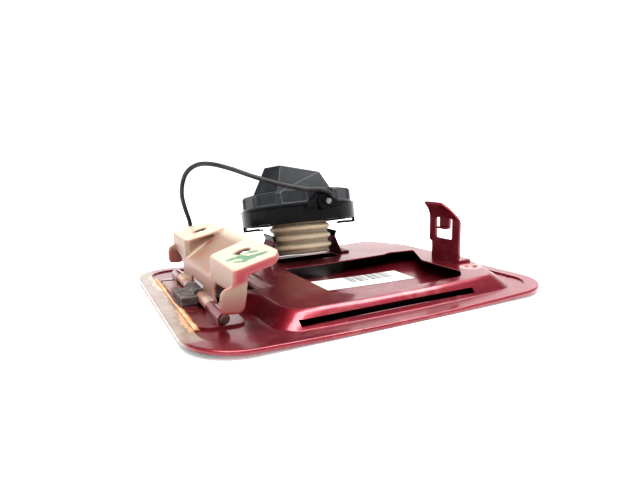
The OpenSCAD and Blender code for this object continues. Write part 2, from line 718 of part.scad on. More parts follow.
// Finger under the ring that stops it from lifting off the cap: a short post and a flat
// curved shelf that reaches inwards
module ring_tab() {
    r = ring_d / 2;
    translate([0, 0, -tab_drop]) {
        rotate([0, 0, -tab_w / 2]) rotate_extrude(angle = tab_w, $fn = 96)
            translate([spigot_r - 5, 0]) square([5, tab_t]);
        rotate([0, 0, -tab_w / 8]) rotate_extrude(angle = tab_w / 4, $fn = 96)
            translate([spigot_r - 1, 0]) square([r - ring_t / 2 - spigot_r + 1, tab_t]);
        rotate([0, 0, -tab_w / 8]) rotate_extrude(angle = tab_w / 4, $fn = 96)
            translate([r - ring_t, 0]) square([ring_t - 0.3, tab_drop + 1]);
    }
}

// Arched lug that stands up from the ring, with a bore for the tether's end
module eyelet() {
    rotate([90, 0, 90]) linear_extrude(2.6) difference() {
        union() {
            translate([0, 3]) circle(r = 7.5);
            polygon([[-13, 0], [13, 0], [7, 6], [-7, 6]]);
        }
        translate([0, 3]) circle(r = eyelet_hole);
        translate([-20, -10]) square([40, 10]);
    }
}

// Threaded neck with its flange under the cover
bore_r = neck_d / 2 - 3;
flange_z0 = 3;
flange_z1 = 5.5;
thread_pitch = 6.4;
module cap_body() {
    n = neck_d / 2;
    c = n + thread_h;
    color(cream_plastic) on_cap() rotate_extrude($fn = 72) polygon(concat(
        [[bore_r, -neck_l], [n - 0.8, -neck_l], [n, -neck_l + 0.8]],
        [for (k = [0:2])
            let (z = -neck_l + 2.4 + thread_pitch * k)
            each [[n, z], [c, z + 1.5], [c, z + 3], [n, z + 4.5]]],
        [[n, flange_z0], [body_flange_r, flange_z0], [body_flange_r, flange_z1], [0, flange_z1],
         [0, flange_z0 - 0.5], [bore_r, flange_z0 - 0.5]]));
}

module cap_gasket() {
    r = 1.5;
    color([0.08, 0.08, 0.08]) on_cap() rotate_extrude($fn = 60)
        translate([neck_d / 2 + r + fit, flange_z0 - r - fit]) circle(r = r, $fn = 24);
}

// Toothed ring that lets the cover click when the cap is tight
module ratchet_ring() {
    teeth = 18;
    r0 = body_flange_r - 6;
    r1 = body_flange_r - 2.5;
    color([0.80, 0.78, 0.72]) on_cap() translate([0, 0, flange_z1 + seat])
        linear_extrude(4) difference() {
            polygon([for (k = [0:teeth - 1])
                each let (a = 360 / teeth, b = a * (k + 0.1), c = a * (k + 0.35))
                [r0 * [cos(a * k), sin(a * k)], r1 * [cos(b), sin(b)], r1 * [cos(c), sin(c)]]]);
            circle(r = r0 - 2.5, $fn = 64);
        }
}

// Valve in the neck: a cup with a ledge, a seal on the ledge, and a sprung disc below it
ledge_z = -8;
ledge_t = 1.5;
ledge_r = 11;
seal_t = 1.4;
seat_z = ledge_z - seat;
cup_r = bore_r - seat;
cup_wall = 1.6;
disc_r = ledge_r - 0.5;
disc_t = 1.4;
stem_r = 2.4;
stem_l = 5;
spring_r = 5.5;
spring_wire = 0.8;
spring_turns = 4.5;

module valve_seal() {
    color([0.1, 0.1, 0.1]) on_cap() translate([0, 0, ledge_z]) rotate_extrude()
        polygon([[8, 0], [ledge_r + 2.5, 0], [ledge_r + 2.5, seal_t], [8, seal_t]]);
}

module valve_disc() {
    color([0.75, 0.70, 0.45]) on_cap() translate([0, 0, seat_z - disc_t]) {
        cylinder(r = disc_r, h = disc_t);
        translate([0, 0, -stem_l]) cylinder(r = stem_r, h = stem_l + 0.1);
    }
}

// Coil that holds the vacuum valve shut
module valve_spring() {
    z0 = -neck_l + cup_wall + spring_wire / 2 + 0.03;
    z1 = seat_z - disc_t - spring_wire / 2 - 0.03;
    steps = 12;
    turns = spring_turns * steps;
    coil = [for (k = [0:turns])
        let (a = 360 * k / steps)
        [spring_r * cos(a), spring_r * sin(a), z0 + (z1 - z0) * k / turns]];
    color([0.7, 0.7, 0.72]) on_cap() sweep(coil, spring_wire, 6, [0, 0, 1]);
}

// Cup that closes the neck's lower end and carries the valve
module valve_retainer() {
    vent = 3.2;
    in = cup_r - cup_wall;
    top = ledge_z + seal_t + 1.5;
    floor_z = -neck_l + cup_wall;
    color(cream_plastic) on_cap() rotate_extrude($fn = 60) polygon(
        [[vent, -neck_l], [cup_r, -neck_l], [cup_r, top], [in, top], [in, ledge_z],
         [ledge_r, ledge_z], [ledge_r, ledge_z - ledge_t], [in, ledge_z - ledge_t],
         [in, floor_z], [vent, floor_z]]);
}

// Tether: a springy plastic cord from a clip on the bracket's far ear to the ring's eyelet
tether_route = [[-66, 69, 27.5], [-66, 68.8, 31], [-67, 67.5, 38], [-70, 64, 46.5], [-72, 61, 56],
                [-71.5, 56, 65], [-69, 51, 71], [-64, 45, 74.5], [-57.5, 38, 74.5],
                [-48.5, 29, 71.5], [-38.5, 20, 67], [-27.5, 13, 63], [-17, 8, 60], [-9, 5.5, 58.5],
                [-1.5, 4.5, 58], [5, 5.5, 56], [8.6, 7, 52.4]];
tether_sides = 8;

function spline(p, n) = [for (i = [0:len(p) - 2], k = [0:n - 1]) let (t = k / n,
    a = p[max(i - 1, 0)], b = p[i], c = p[i + 1], d = p[min(i + 2, len(p) - 1)])
    0.5 * (2 * b + (c - a) * t + (2 * a - 5 * b + 4 * c - d) * t * t
           + (3 * b - a - 3 * c + d) * t * t * t)];

// A round wire along a path; up is a direction that the path never follows
module sweep(p, d, sides, up) {
    m = len(p);
    pts = [for (i = [0:m - 1])
        let (v = unit(p[min(i + 1, m - 1)] - p[max(i - 1, 0)]), a = unit(cross(v, up)),
             b = cross(v, a))
        each [for (k = [0:sides - 1])
            let (t = 360 * k / sides)
            p[i] + d / 2 * (cos(t) * a + sin(t) * b)]];
    walls = [for (i = [0:m - 2], k = [0:sides - 1])
        let (q = (k + 1) % sides)
        [i * sides + k, (i + 1) * sides + k, (i + 1) * sides + q, i * sides + q]];
    first = [for (k = [0:sides - 1]) k];
    last = [for (k = [sides - 1:-1:0]) (m - 1) * sides + k];
    polyhedron(pts, concat(walls, [first, last]), 4);
}

module tether() {
    color(black_plastic) sweep(concat(spline(tether_route, 3), [tether_route[len(tether_route) - 1]]),
                               tether_d, tether_sides, [0.65, 0.75, 0.1]);
}

// Metal sleeve crimped on the tether's end, held in the eyelet
module tether_ferrule() {
    color([0.75, 0.75, 0.74]) on_cap() rotate([0, 0, eyelet_turn])
        translate([ring_d / 2 + ring_lip + seat, 0, ring_h])
            rotate([0, 90, 0]) cylinder(r = eyelet_hole - 0.2, h = 3);
}

// Push-in button that holds the tether's other end on the bracket's far lip
clip_in = 15;
clip_z = 19.1;
module tether_clip() {
    color(black_plastic) translate([pin_x + clip_in, br_b + fit, pin_z + clip_z])
        rotate([-90, 0, 0]) cylinder(r = 4, h = 2.2);
}

translate([0, -mid_y, 0]) {
    outer_skin();
    inner_panel();
    hem_sealer();
    hinge_leaf();
    hinge_pin();
    hinge_buffer();
    hinge_channel();
    hinge_bracket();
    hinge_spring();
    latch_hook();
    holder_arm_left();
    holder_arm_right();
    cap_cover();
    tether_ring();
    cap_body();
    cap_gasket();
    ratchet_ring();
    valve_seal();
    valve_disc();
    valve_spring();
    valve_retainer();
    tether();
    tether_ferrule();
    tether_clip();
}
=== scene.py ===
"""Looks of a car's fuel door with its hinge bracket, latch hook and tethered cap, on its frame."""
import json
import math

import bmesh
import bpy
from bpy.props import FloatProperty, FloatVectorProperty, IntProperty, PointerProperty
from mathutils import Matrix, Vector, noise

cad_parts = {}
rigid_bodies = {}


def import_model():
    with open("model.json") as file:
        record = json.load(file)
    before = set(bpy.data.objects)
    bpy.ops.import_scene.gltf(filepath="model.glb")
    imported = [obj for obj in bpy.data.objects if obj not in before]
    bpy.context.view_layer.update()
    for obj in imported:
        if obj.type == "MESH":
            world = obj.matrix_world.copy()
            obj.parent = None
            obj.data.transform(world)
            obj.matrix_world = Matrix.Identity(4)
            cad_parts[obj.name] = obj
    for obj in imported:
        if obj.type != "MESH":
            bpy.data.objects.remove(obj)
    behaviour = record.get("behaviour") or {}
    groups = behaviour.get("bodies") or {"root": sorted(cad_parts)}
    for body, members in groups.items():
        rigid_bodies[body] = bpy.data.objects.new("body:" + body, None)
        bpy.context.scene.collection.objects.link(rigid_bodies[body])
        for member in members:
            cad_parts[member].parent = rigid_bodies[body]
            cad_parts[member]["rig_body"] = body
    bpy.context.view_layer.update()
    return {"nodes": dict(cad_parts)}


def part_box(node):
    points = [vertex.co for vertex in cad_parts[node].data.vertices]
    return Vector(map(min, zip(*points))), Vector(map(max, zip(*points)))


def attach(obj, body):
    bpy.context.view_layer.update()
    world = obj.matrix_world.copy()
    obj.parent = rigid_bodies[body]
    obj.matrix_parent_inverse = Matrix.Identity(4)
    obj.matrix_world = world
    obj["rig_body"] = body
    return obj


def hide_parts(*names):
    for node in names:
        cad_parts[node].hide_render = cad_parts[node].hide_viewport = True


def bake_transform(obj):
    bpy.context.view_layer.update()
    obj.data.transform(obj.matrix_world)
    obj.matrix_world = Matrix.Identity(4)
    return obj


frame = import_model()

bl_info = {
    "name": "Fuel door",
    "version": (1, 0, 0),
    "blender": (4, 5, 0),
    "location": "3D View > Sidebar > Fuel door",
    "description": "Builds the visible pieces of a car's fuel door over its packed model",
    "category": "Object",
}

MM = 0.001
WELD = 2e-6              # Corners of a CAD mesh nearer than this, in metres, are one
SKIN_LOW, SKIN_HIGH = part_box("outer_skin")
MIDDLE = (SKIN_LOW + SKIN_HIGH) / 2
HALF_LENGTH = (SKIN_HIGH.x - SKIN_LOW.x) / 2 / MM


def at(x, y, z):
    """A point in metres, from millimetres off the door's middle and above its outer face."""
    return Vector((MIDDLE.x + x * MM, MIDDLE.y + y * MM, z * MM))


def linear(code):
    """An sRGB hex colour as linear red, green, blue and alpha."""
    parts = [int(code[i:i + 2], 16) / 255 for i in (1, 3, 5)]
    light = (c / 12.92 if c <= 0.04045 else ((c + 0.055) / 1.055) ** 2.4 for c in parts)
    return (*light, 1.0)


def colour(title, text, code):
    """A colour property with a default from an sRGB hex value."""
    return FloatVectorProperty(name=title, description=text, subtype="COLOR", size=4, min=0, max=1,
                               default=linear(code))


def length(title, text, value):
    """A length property in millimetres."""
    return FloatProperty(name=title, description=text, default=value, min=0, precision=2)


def strength(title, text, value):
    """A strength of light."""
    return FloatProperty(name=title, description=text, default=value, min=0)


# Sizes and colours that a user would change

class DoorLook(bpy.types.PropertyGroup):
    """Lacquered sheets of the door."""
    crown: length("Crown", "Rise of the outer face at both ends, in mm", 2.6)
    lacquer: colour("Lacquer", "Colour of the door's lacquer", "#942a3a")
    shade: colour("Deep lacquer", "Colour of the lacquer where it lies thick", "#6a1324")
    bare: colour("Primer edge", "Primer that shows on the hem at the hinge end", "#8f7e6e")
    sealer: colour("Sealer", "Colour of the seam sealer", "#cb9f78")
    sealer_ripple: length("Sealer ripple", "Depth of the ripples in the sealer's edge, in mm", 0.7)


class BracketLook(bpy.types.PropertyGroup):
    """Pressed hinge bracket."""
    # The upper and upright faces take lit and shaded copies of the primer: the sides' colour is
    # painted shade
    primer: colour("Primer", "Colour of the bracket's upper faces", "#c3b8a2")
    side: colour("Sides", "Colour of the bracket's upright faces", "#8f7a69")
    spray: colour("Overspray", "Colour of the lacquer that drifted on the bracket", "#8c2937")
    marker: colour("Marker", "Colour of the faded paint strokes", "#3f7d58")
    voxel: length("Voxel", "Grain of the remeshed bracket, in mm", 0.5)
    bends: IntProperty(name="Bends", description="Smoothing steps that round the pressed bends",
                       default=12, min=0, max=40)


class CapLook(bpy.types.PropertyGroup):
    """Fuel cap and its tether."""
    cover: colour("Cover", "Colour of the moulded cover", "#1f2327")
    ring: colour("Ring", "Colour of the tether ring", "#0c0d0f")
    neck: colour("Neck", "Colour of the threaded neck", "#f0e8d4")
    grime: colour("Grime", "Colour of the dirt in the threads", "#4a3a2b")
    tether: colour("Tether", "Colour of the tether", "#232122")
    tether_d: length("Tether diameter", "Diameter of the tether, in mm", 2.7)


class StageLook(bpy.types.PropertyGroup):
    """Floor, light and camera."""
    floor: colour("Floor", "Colour of the floor", "#ffffff")
    glow: strength("Glow", "Light that the table itself gives", 0.18)
    low: strength("Backdrop", "Light of the white backdrop near the floor's level", 1.0)
    high: strength("Ceiling", "Light of the dimmer room overhead", 0.25)
    key: strength("Key light", "Strength of the soft key light", 0.95)
    box: FloatProperty(name="Softbox", description="Power of the overhead softbox", default=7.8,
                       min=0, unit="POWER")
    lens: FloatProperty(name="Lens", description="Focal length of the camera", default=27.01,
                        unit="CAMERA", min=10)


# Shapes

SMOOTHING = {"factor": 0.5, "use_axis_x": True, "use_axis_y": True, "use_axis_z": True}


def welded(node, flat=0.0):
    """A bmesh of a CAD node with its corners joined and the cuts across its flat faces removed."""
    bm = bmesh.new()
    bm.from_mesh(frame["nodes"][node].data)
    bmesh.ops.remove_doubles(bm, verts=bm.verts, dist=WELD)
    if flat:
        bmesh.ops.dissolve_limit(bm, angle_limit=math.radians(flat), verts=bm.verts, edges=bm.edges)
    return bm


def soften(bm, width, above=30.0, segments=2, clamp=True):
    """Rounds the edges sharper than an angle, and marks the rounded faces as edge."""
    edge = bm.faces.layers.float.get("edge") or bm.faces.layers.float.new("edge")
    sharp = [e for e in bm.edges if e.is_manifold and e.calc_face_angle(0) > math.radians(above)]
    made = bmesh.ops.bevel(bm, geom=sharp, offset=width * MM, offset_type="OFFSET", affect="EDGES",
                           segments=segments, profile=0.5, material=-1, clamp_overlap=clamp)
    for face in made["faces"]:
        face[edge] = 1.0


def solved(draft):
    """A bmesh of what a draft's modifiers or its bevel make of it; the draft is removed."""
    bpy.context.scene.collection.objects.link(draft)
    made = draft.evaluated_get(bpy.context.evaluated_depsgraph_get())
    bm = bmesh.new()
    bm.from_mesh(made.to_mesh())
    made.to_mesh_clear()
    bpy.data.objects.remove(draft)
    return bm


def piece_from(name, bm, sharp=40.0):
    """An object from a bmesh, shaded smooth between the edges sharper than an angle."""
    for face in bm.faces:
        face.smooth = True
    for edge in bm.edges:
        edge.smooth = edge.is_manifold and edge.calc_face_angle(0) < math.radians(sharp)
    mesh = bpy.data.meshes.new(name)
    bm.to_mesh(mesh)
    bm.free()
    piece = bpy.data.objects.new(name, mesh)
    bpy.context.scene.collection.objects.link(piece)
    shading = piece.modifiers.new("Even shading", "WEIGHTED_NORMAL")
    shading.keep_sharp = True
    return piece


def stand_in(piece, node, material):
    """Gives a piece its material and puts it in the place of a CAD node."""
    piece.data.materials.append(material)
    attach(piece, frame["nodes"][node]["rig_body"])
    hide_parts(node)
    return piece


def dress(node, material, bevel=0.0, above=30.0, flat=0.3, sharp=40.0, segments=2):
    """Stands a copy of a CAD node with rounded edges and even shading in its place."""
    bm = welded(node, flat)
    if bevel:
        soften(bm, bevel, above, segments)
    return stand_in(piece_from(node + "_look", bm, sharp), node, material)


def ramp(low, high, value):
    """0 below low and 1 above high, with a smooth rise between them; low may be the larger."""
    t = min(1.0, max(0.0, (value - low) / (high - low)))
    return t * t * (3 - 2 * t)


def spline(points, steps):
    """Points on a smooth line through the given ones, the same as the CAD's."""
    line = []
    last = len(points) - 1
    for i in range(last):
        a, b = points[max(i - 1, 0)], points[i]
        c, d = points[i + 1], points[min(i + 2, last)]
        for k in range(steps):
            t = k / steps
            line.append(0.5 * (2 * b + (c - a) * t + (2 * a - 5 * b + 4 * c - d) * t * t
                               + (3 * b - a - 3 * c + d) * t * t * t))
    return line + [points[last]]


# Materials

def cells(size):
    """Scale of a texture whose features are size millimetres apart."""
    return 1000.0 / size


def surface(name, **values):
    """A new material, as its node tree and its shader with constants on the shader's sockets."""
    material = bpy.data.materials.new(name)
    material.use_nodes = True
    tree = material.node_tree
    shader = tree.nodes["Principled BSDF"]
    for key, value in values.items():
        shader.inputs[key.replace("_", " ")].default_value = value
    return material, tree, shader


def add(tree, kind, links=None, **settings):
    """Adds a node with its settings; links has a value, a socket or a node for some inputs."""
    node = tree.nodes.new("ShaderNode" + kind)
    for key, value in settings.items():
        setattr(node, key, value)
    for key, value in (links or {}).items():
        if isinstance(key, str):
            key = next(i for i, s in enumerate(node.inputs) if s.enabled and s.name == key)
        if isinstance(value, bpy.types.Node):
            value = next(socket for socket in value.outputs if socket.enabled)
        if isinstance(value, bpy.types.NodeSocket):
            tree.links.new(value, node.inputs[key])
        else:
            node.inputs[key].default_value = value
    return node


def zone(tree, *edges, most=1.0):
    """Share of a finish in a zone; each edge is a distance, with where it starts and ends in mm."""
    share = most
    for off, start, end in edges:
        fade = add(tree, "MapRange", {"Value": off, "From Min": start * MM, "From Max": end * MM})
        share = add(tree, "Math", {0: share, 1: fade}, operation="MULTIPLY")
    return share


CAP_PLACE = (3.8, 47.0)          # The cap's middle over the door, in door millimetres
FLAKES = 0.6                     # Share of metal that the flakes give the lacquer


def worn_hem_and_painted_shade(tree, shader, place, coat, look):
    """The coat of the outer skin: its worn hem at the hinge end, and painted shade in its hollows
    and under the cap.
    """
    axes = add(tree, "SeparateXYZ", {0: place}).outputs
    # Primer that shows through on top of the hem, short of the near corner, in an edge that is
    # ragged every 9 mm
    ragged = add(tree, "TexNoise", {"Vector": place, "Scale": cells(9), "Detail": 6.0})
    inwards = add(tree, "Math", {0: ragged, 1: 12 * MM, 2: axes["X"]}, operation="MULTIPLY_ADD")
    along = add(tree, "Math", {0: ragged, 1: 10 * MM, 2: axes["Y"]}, operation="MULTIPLY_ADD")
    bare = zone(tree, (inwards, -85.5, -88.5), (axes["Z"], 2.2, 4.2), (along, -65.5, -61.5))
    blush = add(tree, "TexNoise", {"Vector": place, "Scale": cells(9), "Detail": 6.0,
                                   "Roughness": 0.65})
    flush = add(tree, "MapRange", {"Value": blush, "From Min": 0.42, "From Max": 0.68})
    pale = add(tree, "Mix", {"Factor": flush, "A": look.bare, "B": linear("#7d574f")},
               data_type="RGBA")
    coat = add(tree, "Mix", {"Factor": bare, "A": coat, "B": pale}, data_type="RGBA")
    # Seam sealer that was wiped over the hem in two stretches, on both sides of y = 4 mm
    run = add(tree, "Math", {0: axes["Y"], 1: at(0, 4, 0).y}, operation="SUBTRACT")
    run = add(tree, "Math", {0: run}, operation="ABSOLUTE")
    wiped = add(tree, "Math", {0: zone(tree, (run, 15, 21)), 1: 2.8 * MM, 2: inwards},
                operation="MULTIPLY_ADD")
    smear = add(tree, "Math", {0: zone(tree, (wiped, -88.2, -87.5), (run, 61, 56)), 1: bare},
                operation="MULTIPLY")
    coat = add(tree, "Mix", {"Factor": smear, "A": coat, "B": look.sealer}, data_type="RGBA")
    # Painted shade in the hollow under the flanks, behind the slots: dark, and without the clear
    # coat
    side = add(tree, "Math", {0: axes["Y"], 1: MIDDLE.y}, operation="SUBTRACT")
    away = add(tree, "Math", {0: side}, operation="ABSOLUTE")
    hollow = zone(tree, (away, 50, 54), (axes["Z"], 3.4, 2.4), (away, 77.5, 75.5))
    # Painted shade on the sheet in the nest under the cap, dark and without the clear coat as well
    level = add(tree, "VectorMath", {0: place, 1: (1, 1, 0)}, operation="MULTIPLY")
    off = add(tree, "VectorMath", {0: level, 1: at(*CAP_PLACE, 0)}, operation="DISTANCE")
    dark = add(tree, "Math", {0: hollow, 1: zone(tree, (off, 37, 34), most=0.85)},
               operation="MAXIMUM")
    # The painted shade's dark colour, with the clear coat, gloss and flakes taken off where it lies
    coat = add(tree, "Mix", {"Factor": dark, "A": coat, "B": linear("#1c0b0d")}, data_type="RGBA")
    unshaded_coat = add(tree, "Math", {0: 1.0, 1: dark}, operation="SUBTRACT")
    gleam = add(tree, "Math", {0: unshaded_coat, 1: 0.5}, operation="MULTIPLY")
    plain = add(tree, "Math", {0: bare, 1: dark}, operation="MAXIMUM")
    flakes = add(tree, "Math", {0: plain, 1: -FLAKES, 2: FLAKES}, operation="MULTIPLY_ADD")
    for share, name in ((unshaded_coat, "Coat Weight"), (gleam, "Specular IOR Level"),
                        (flakes, "Metallic")):
        tree.links.new(share.outputs[0], shader.inputs[name])
    return coat


def lacquer(name, look, hem=False, pads=None, seat=None, tip=None):
    """Car lacquer, metallic base under clear coat, sprayed: deep wet gloss with a fine skin."""
    material, tree, shader = surface(name, Metallic=FLAKES, Roughness=0.4, Coat_Weight=1.0,
                                     Coat_Roughness=0.15, Coat_IOR=1.5)
    place = add(tree, "TexCoord").outputs["Object"]
    # Cloudy thickness of the coat, 35 mm apart
    cloud = add(tree, "TexNoise", {"Vector": place, "Scale": cells(35), "Detail": 3.0})
    body = add(tree, "Mix", {"Factor": cloud, "A": look.shade, "B": look.lacquer}, data_type="RGBA")
    # Handling dust in patches of about 12 mm with finely ragged edges
    patch = add(tree, "TexNoise", {"Vector": place, "Scale": cells(12), "Detail": 8.0,
                                   "Roughness": 0.65})
    dust = add(tree, "MapRange", {"Value": patch, "From Min": 0.52, "From Max": 0.85,
                                  "To Max": 0.25})
    tint = add(tree, "Mix", {"Factor": dust, "A": body, "B": linear("#c9a6a2")}, data_type="RGBA")
    # Painted highlight: a pale pink on the cut edges
    cut = add(tree, "Attribute", attribute_name="edge").outputs["Fac"]
    rim = add(tree, "Math", {0: cut, 1: 0.55}, operation="MULTIPLY")
    coat = add(tree, "Mix", {"Factor": rim, "A": tint, "B": linear("#c4666a")}, data_type="RGBA")
    if hem:
        coat = worn_hem_and_painted_shade(tree, shader, place, coat, look)
    if pads is not None:
        # Painted reflection on the leaf's far pads and on the channel: the lilac sheen of the
        # glossy coat, laid into its colour
        width = add(tree, "SeparateXYZ", {0: place}).outputs["Y"]
        film = zone(tree, (width, pads - 3, pads), most=0.7)
        coat = add(tree, "Mix", {"Factor": film, "A": coat, "B": linear("#a8807f")},
                   data_type="RGBA")
    if seat:
        # Painted highlight on the dished seat: a pale ragged spot round its middle
        off = add(tree, "VectorMath", {0: place, 1: seat}, operation="DISTANCE")
        reach = add(tree, "Math", {0: patch, 1: 1.8 * MM, 2: off}, operation="MULTIPLY_ADD")
        spot = zone(tree, (reach, 8.2, 7.0), most=0.7)
        coat = add(tree, "Mix", {"Factor": spot, "A": coat, "B": linear("#dcb0b0")},
                   data_type="RGBA")
    if tip:
        # Spring arms: a dull coat, darkened as painted shade under the cap, with black upper ends
        shader.inputs["Coat Weight"].default_value = 0.2
        shader.inputs["Specular IOR Level"].default_value = 0.2
        deep = add(tree, "Mix", {"Factor": 0.6, "A": coat, "B": linear("#1d070b")},
                   data_type="RGBA")
        height = add(tree, "SeparateXYZ", {0: place}).outputs["Z"]
        black_end = zone(tree, (height, tip - 0.5, tip))
        coat = add(tree, "Mix", {"Factor": black_end, "A": deep, "B": linear("#0f0d0e")},
                   data_type="RGBA")
    tree.links.new(coat.outputs[2], shader.inputs["Base Color"])
    # Long waves of the pressed sheet, 28 mm, under an orange peel drawn at 1.6 mm so that it shows
    wave = add(tree, "TexNoise", {"Vector": place, "Scale": cells(28), "Detail": 1.0})
    peel = add(tree, "TexNoise", {"Vector": place, "Scale": cells(1.6), "Detail": 2.0})
    sheet = add(tree, "Bump", {"Height": wave, "Strength": 0.35, "Distance": 2 * MM})
    skin = add(tree, "Bump", {"Height": peel, "Strength": 0.05, "Distance": 0.2 * MM,
                              "Normal": sheet})
    for name in ("Normal", "Coat Normal"):
        tree.links.new(skin.outputs[0], shader.inputs[name])
    return material


def primer(look):
    """Satin car primer on pressed steel with drifted lacquer: chalky cream with red clouds, with
    painted light and shade on its faces and bends.
    """
    material, tree, shader = surface("Primer on pressed steel", Roughness=0.42, Coat_Weight=0.25,
                                     Coat_Roughness=0.3)
    place = add(tree, "TexCoord").outputs["Object"]
    painted_lighting, spray, marker, edge = (add(tree, "Attribute", attribute_name=name).outputs["Fac"]
                                   for name in BRACKET_SHARES)
    # Painted light and shade: the primer colour on upward faces, the darker side colour on upright
    # faces and in the channel
    lit_share = add(tree, "MapRange", {"Value": painted_lighting, "From Min": 0.3, "From Max": 0.85})
    base = add(tree, "Mix", {"Factor": lit_share, "A": look.side, "B": look.primer}, data_type="RGBA")
    # Clouds of a thin pink coat, 10 mm apart, stronger on the steep faces
    cloud = add(tree, "TexNoise", {"Vector": place, "Scale": cells(10), "Detail": 7.0,
                                   "Roughness": 0.65})
    warm = add(tree, "MapRange", {"Value": cloud, "From Min": 0.42, "From Max": 0.68,
                                  "To Max": 0.55})
    steep = add(tree, "MapRange", {"Value": painted_lighting, "From Min": 0.95, "From Max": 0.2,
                                   "To Min": 0.12})
    share = add(tree, "Math", {0: warm, 1: steep}, operation="MULTIPLY")
    mottled = add(tree, "Mix", {"Factor": share, "A": base, "B": linear("#a3625c")},
                  data_type="RGBA")
    # Lacquer drift, dense where it was painted on and speckled at 1.2 mm where it thins out
    speck = add(tree, "TexNoise", {"Vector": place, "Scale": cells(1.2), "Detail": 3.0})
    mist = add(tree, "Math", {0: speck, 1: 0.35, 2: spray}, operation="MULTIPLY_ADD")
    drift = add(tree, "MapRange", {"Value": mist, "From Min": 0.25, "From Max": 1.05})
    painted = add(tree, "Mix", {"Factor": drift, "A": mottled, "B": look.spray}, data_type="RGBA")
    # Faded marker strokes, rubbed away in spots of 1.5 mm
    rub = add(tree, "TexNoise", {"Vector": place, "Scale": cells(1.5), "Detail": 4.0})
    worn = add(tree, "MapRange", {"Value": rub, "From Min": 0.3, "From Max": 0.6, "To Min": 0.6})
    stroke = add(tree, "Math", {0: worn, 1: marker}, operation="MULTIPLY")
    marked = add(tree, "Mix", {"Factor": stroke, "A": painted, "B": look.marker}, data_type="RGBA")
    # Ridges paler, partly rubbed and partly a painted highlight; where the edge share is below 0,
    # painted shade in the bends and round the screw holes, and the legs darker towards their lower
    # ends
    ridge = add(tree, "MapRange", {"Value": edge, "From Max": 1.0, "To Max": 0.5})
    rubbed = add(tree, "Mix", {"Factor": ridge, "A": marked, "B": linear("#c39a8d")},
                 data_type="RGBA")
    hollow = add(tree, "MapRange", {"Value": edge, "From Max": -1.0, "To Max": 0.7})
    final = add(tree, "Mix", {"Factor": hollow, "A": rubbed, "B": linear("#6f4d43")},
                data_type="RGBA")
    tree.links.new(final.outputs[2], shader.inputs["Base Color"])
    # Chalky grain of the dry coat, 2.2 mm, coarser than the real one so that it shows
    grain = add(tree, "TexNoise", {"Vector": place, "Scale": cells(2.2), "Detail": 5.0})
    bump = add(tree, "Bump", {"Height": grain, "Strength": 0.15, "Distance": 0.3 * MM})
    tree.links.new(bump.outputs[0], shader.inputs["Normal"])
    return material


def dusty(name, base, film, roughness, size, amount, grain=0.12, edge=0.3, **values):
    """A plain finish with a film of dust in patches of size mm, and paler edges, partly worn and
    partly a painted highlight.
    """
    material, tree, shader = surface(name, **values)
    place = add(tree, "TexCoord").outputs["Object"]
    patch = add(tree, "TexNoise", {"Vector": place, "Scale": cells(size), "Detail": 7.0,
                                   "Roughness": 0.6})
    share = add(tree, "MapRange", {"Value": patch, "From Min": 0.4, "From Max": 0.72,
                                   "To Max": amount})
    # The rounded edges take the film's colour too: partly wear, partly a painted highlight
    cut = add(tree, "Attribute", attribute_name="edge").outputs["Fac"]
    worn = add(tree, "Math", {0: cut, 1: edge, 2: share}, operation="MULTIPLY_ADD", use_clamp=True)
    shade = add(tree, "Mix", {"Factor": worn, "A": base, "B": linear(film)}, data_type="RGBA")
    tree.links.new(shade.outputs[2], shader.inputs["Base Color"])
    gloss = add(tree, "MapRange", {"Value": patch, "From Min": 0.3, "From Max": 0.8,
                                   "To Min": roughness, "To Max": min(1.0, roughness + 0.2)})
    tree.links.new(gloss.outputs[0], shader.inputs["Roughness"])
    # Mould or rolling grain, drawn at 0.9 mm so that it shows
    fine = add(tree, "TexNoise", {"Vector": place, "Scale": cells(0.9), "Detail": 3.0})
    bump = add(tree, "Bump", {"Height": fine, "Strength": grain, "Distance": 0.2 * MM})
    tree.links.new(bump.outputs[0], shader.inputs["Normal"])
    return material


def threaded(look, centre):
    """Acetal moulding, aged: creamy satin with dark fuel grime in the roots of the threads."""
    material, tree, shader = surface("Aged acetal", Roughness=0.4)
    place = add(tree, "TexCoord").outputs["Object"]
    # Turned to the cap's axis, so that the distance from it finds the roots
    centred = add(tree, "Mapping", {"Vector": place, "Location": -centre}, vector_type="POINT")
    upright = add(tree, "VectorRotate", {"Vector": centred, "Axis": (1, 0, 0), "Angle": CAP_TILT},
                  rotation_type="AXIS_ANGLE")
    flat = add(tree, "VectorMath", {0: upright, 1: (1, 1, 0)}, operation="MULTIPLY")
    radius = add(tree, "VectorMath", {0: flat}, operation="LENGTH")
    # Grime comes and goes along the roots every 8 mm
    patch = add(tree, "TexNoise", {"Vector": place, "Scale": cells(8), "Detail": 6.0,
                                   "Roughness": 0.7})
    reach = add(tree, "Math", {0: patch, 1: -2.2 * MM, 2: radius}, operation="MULTIPLY_ADD")
    root = zone(tree, (reach, 19.0, 17.8), most=0.6)
    # Yellowing in clouds of 20 mm
    cloud = add(tree, "TexNoise", {"Vector": place, "Scale": cells(20), "Detail": 3.0})
    aged = add(tree, "Mix", {"Factor": cloud, "A": look.neck, "B": linear("#e6dbbd")},
               data_type="RGBA")
    shade = add(tree, "Mix", {"Factor": root, "A": aged, "B": look.grime}, data_type="RGBA")
    tree.links.new(shade.outputs[2], shader.inputs["Base Color"])
    return material


# Printed areas of the sticker: the stripes' level under which there is ink, and the left, right,
# lower and upper edges as shares of its size
BARS = (0.53, 0.4, 0.86, 0.42, 1.0)
DASHES = ((0.56, 0.1, 0.5, 0.26, 0.31), (0.56, 0.12, 0.44, 0.12, 0.16))


